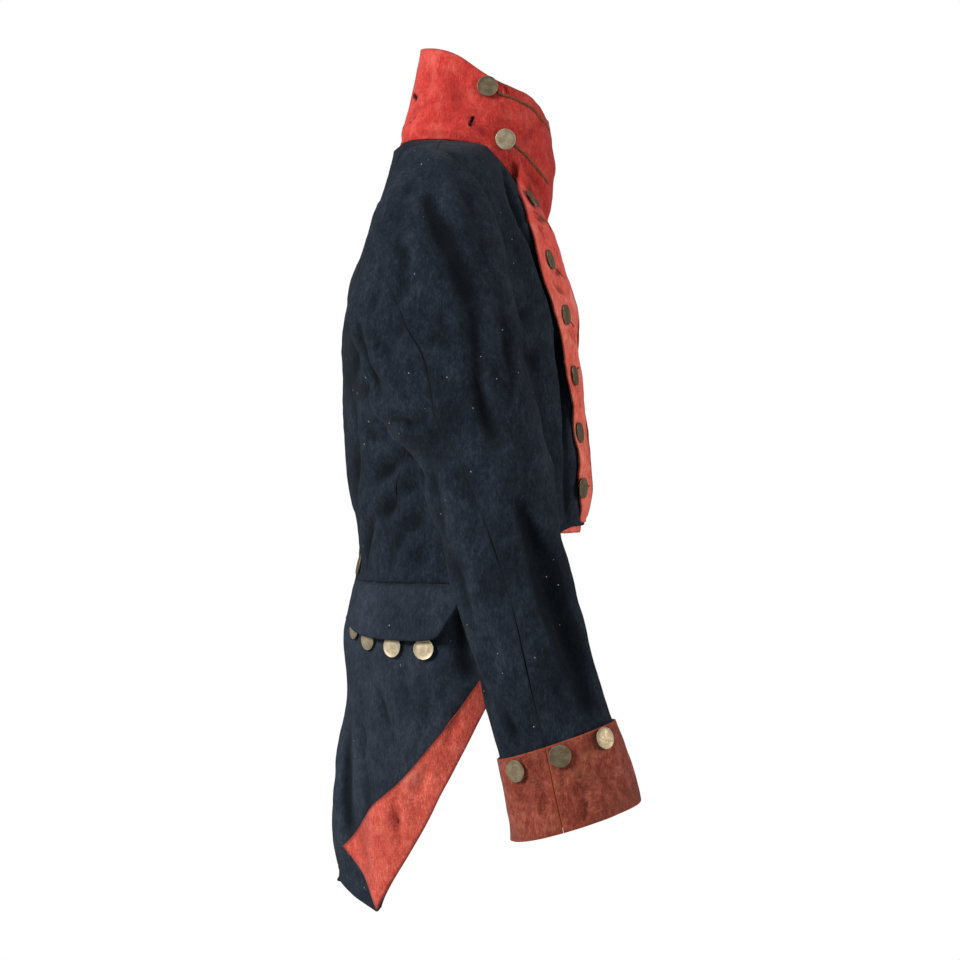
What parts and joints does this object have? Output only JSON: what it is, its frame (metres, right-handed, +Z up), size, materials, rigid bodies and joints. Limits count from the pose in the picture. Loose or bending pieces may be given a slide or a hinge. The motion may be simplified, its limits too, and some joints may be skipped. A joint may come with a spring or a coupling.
{
  "type": "military coatee",
  "caption": "Worn-form military tailcoat in navy wool with tall scarlet collar, narrow lapels, round cuffs, cut-away tails with turnbacks, hip pocket flaps and plain disc buttons.",
  "frame": {"origin": "middle of the neck, level with the shoulder seams, where the wearer's neck and shoulders hold the coat", "axes": "+Z up, -Y to the front of the coat, -X to the wearer's right"},
  "size_m": [0.5744, 0.2972, 0.8479],
  "materials": {
    "navy_broadcloth": "matt fulled wool broadcloth with a short worn nap",
    "scarlet_broadcloth": "matt fulled wool broadcloth",
    "faded_scarlet_broadcloth": "matt fulled wool broadcloth, faded and soiled towards orange",
    "button_metal": "dull tarnished flat sheet, hand worn"
  },
  "bodies": {
    "root": {"collar": "scarlet_broadcloth", "front_right": "navy_broadcloth", "back_right": "navy_broadcloth", "lapel_right": "scarlet_broadcloth", "hem_facing_right": "scarlet_broadcloth", "tail_right": "navy_broadcloth", "turnback_right": "faded_scarlet_broadcloth", "pocket_flap_right": "navy_broadcloth", "sleeve_upper_right": "navy_broadcloth", "sleeve_under_right": "navy_broadcloth", "cuff_right": "faded_scarlet_broadcloth", "button_collar_right_1": "button_metal", "button_collar_right_2": "button_metal", "button_lapel_right_1": "button_metal", "button_lapel_right_2": "button_metal", "button_lapel_right_3": "button_metal", "button_lapel_right_4": "button_metal", "button_lapel_right_5": "button_metal", "button_lapel_right_6": "button_metal", "button_cuff_right_1": "button_metal", "button_cuff_right_2": "button_metal", "button_cuff_right_3": "button_metal", "button_flap_right_1": "button_metal", "button_flap_right_2": "button_metal", "button_flap_right_3": "button_metal", "button_flap_right_4": "button_metal", "button_hip_right": "button_metal", "front_left": "navy_broadcloth", "back_left": "navy_broadcloth", "lapel_left": "scarlet_broadcloth", "hem_facing_left": "scarlet_broadcloth", "tail_left": "navy_broadcloth", "turnback_left": "faded_scarlet_broadcloth", "pocket_flap_left": "navy_broadcloth", "sleeve_upper_left": "navy_broadcloth", "sleeve_under_left": "navy_broadcloth", "cuff_left": "faded_scarlet_broadcloth", "button_collar_left_1": "button_metal", "button_collar_left_2": "button_metal", "button_lapel_left_1": "button_metal", "button_lapel_left_2": "button_metal", "button_lapel_left_3": "button_metal", "button_lapel_left_4": "button_metal", "button_lapel_left_5": "button_metal", "button_lapel_left_6": "button_metal", "button_cuff_left_1": "button_metal", "button_cuff_left_2": "button_metal", "button_cuff_left_3": "button_metal", "button_flap_left_1": "button_metal", "button_flap_left_2": "button_metal", "button_flap_left_3": "button_metal", "button_flap_left_4": "button_metal", "button_hip_left": "button_metal"}
  },
  "joints": []
}
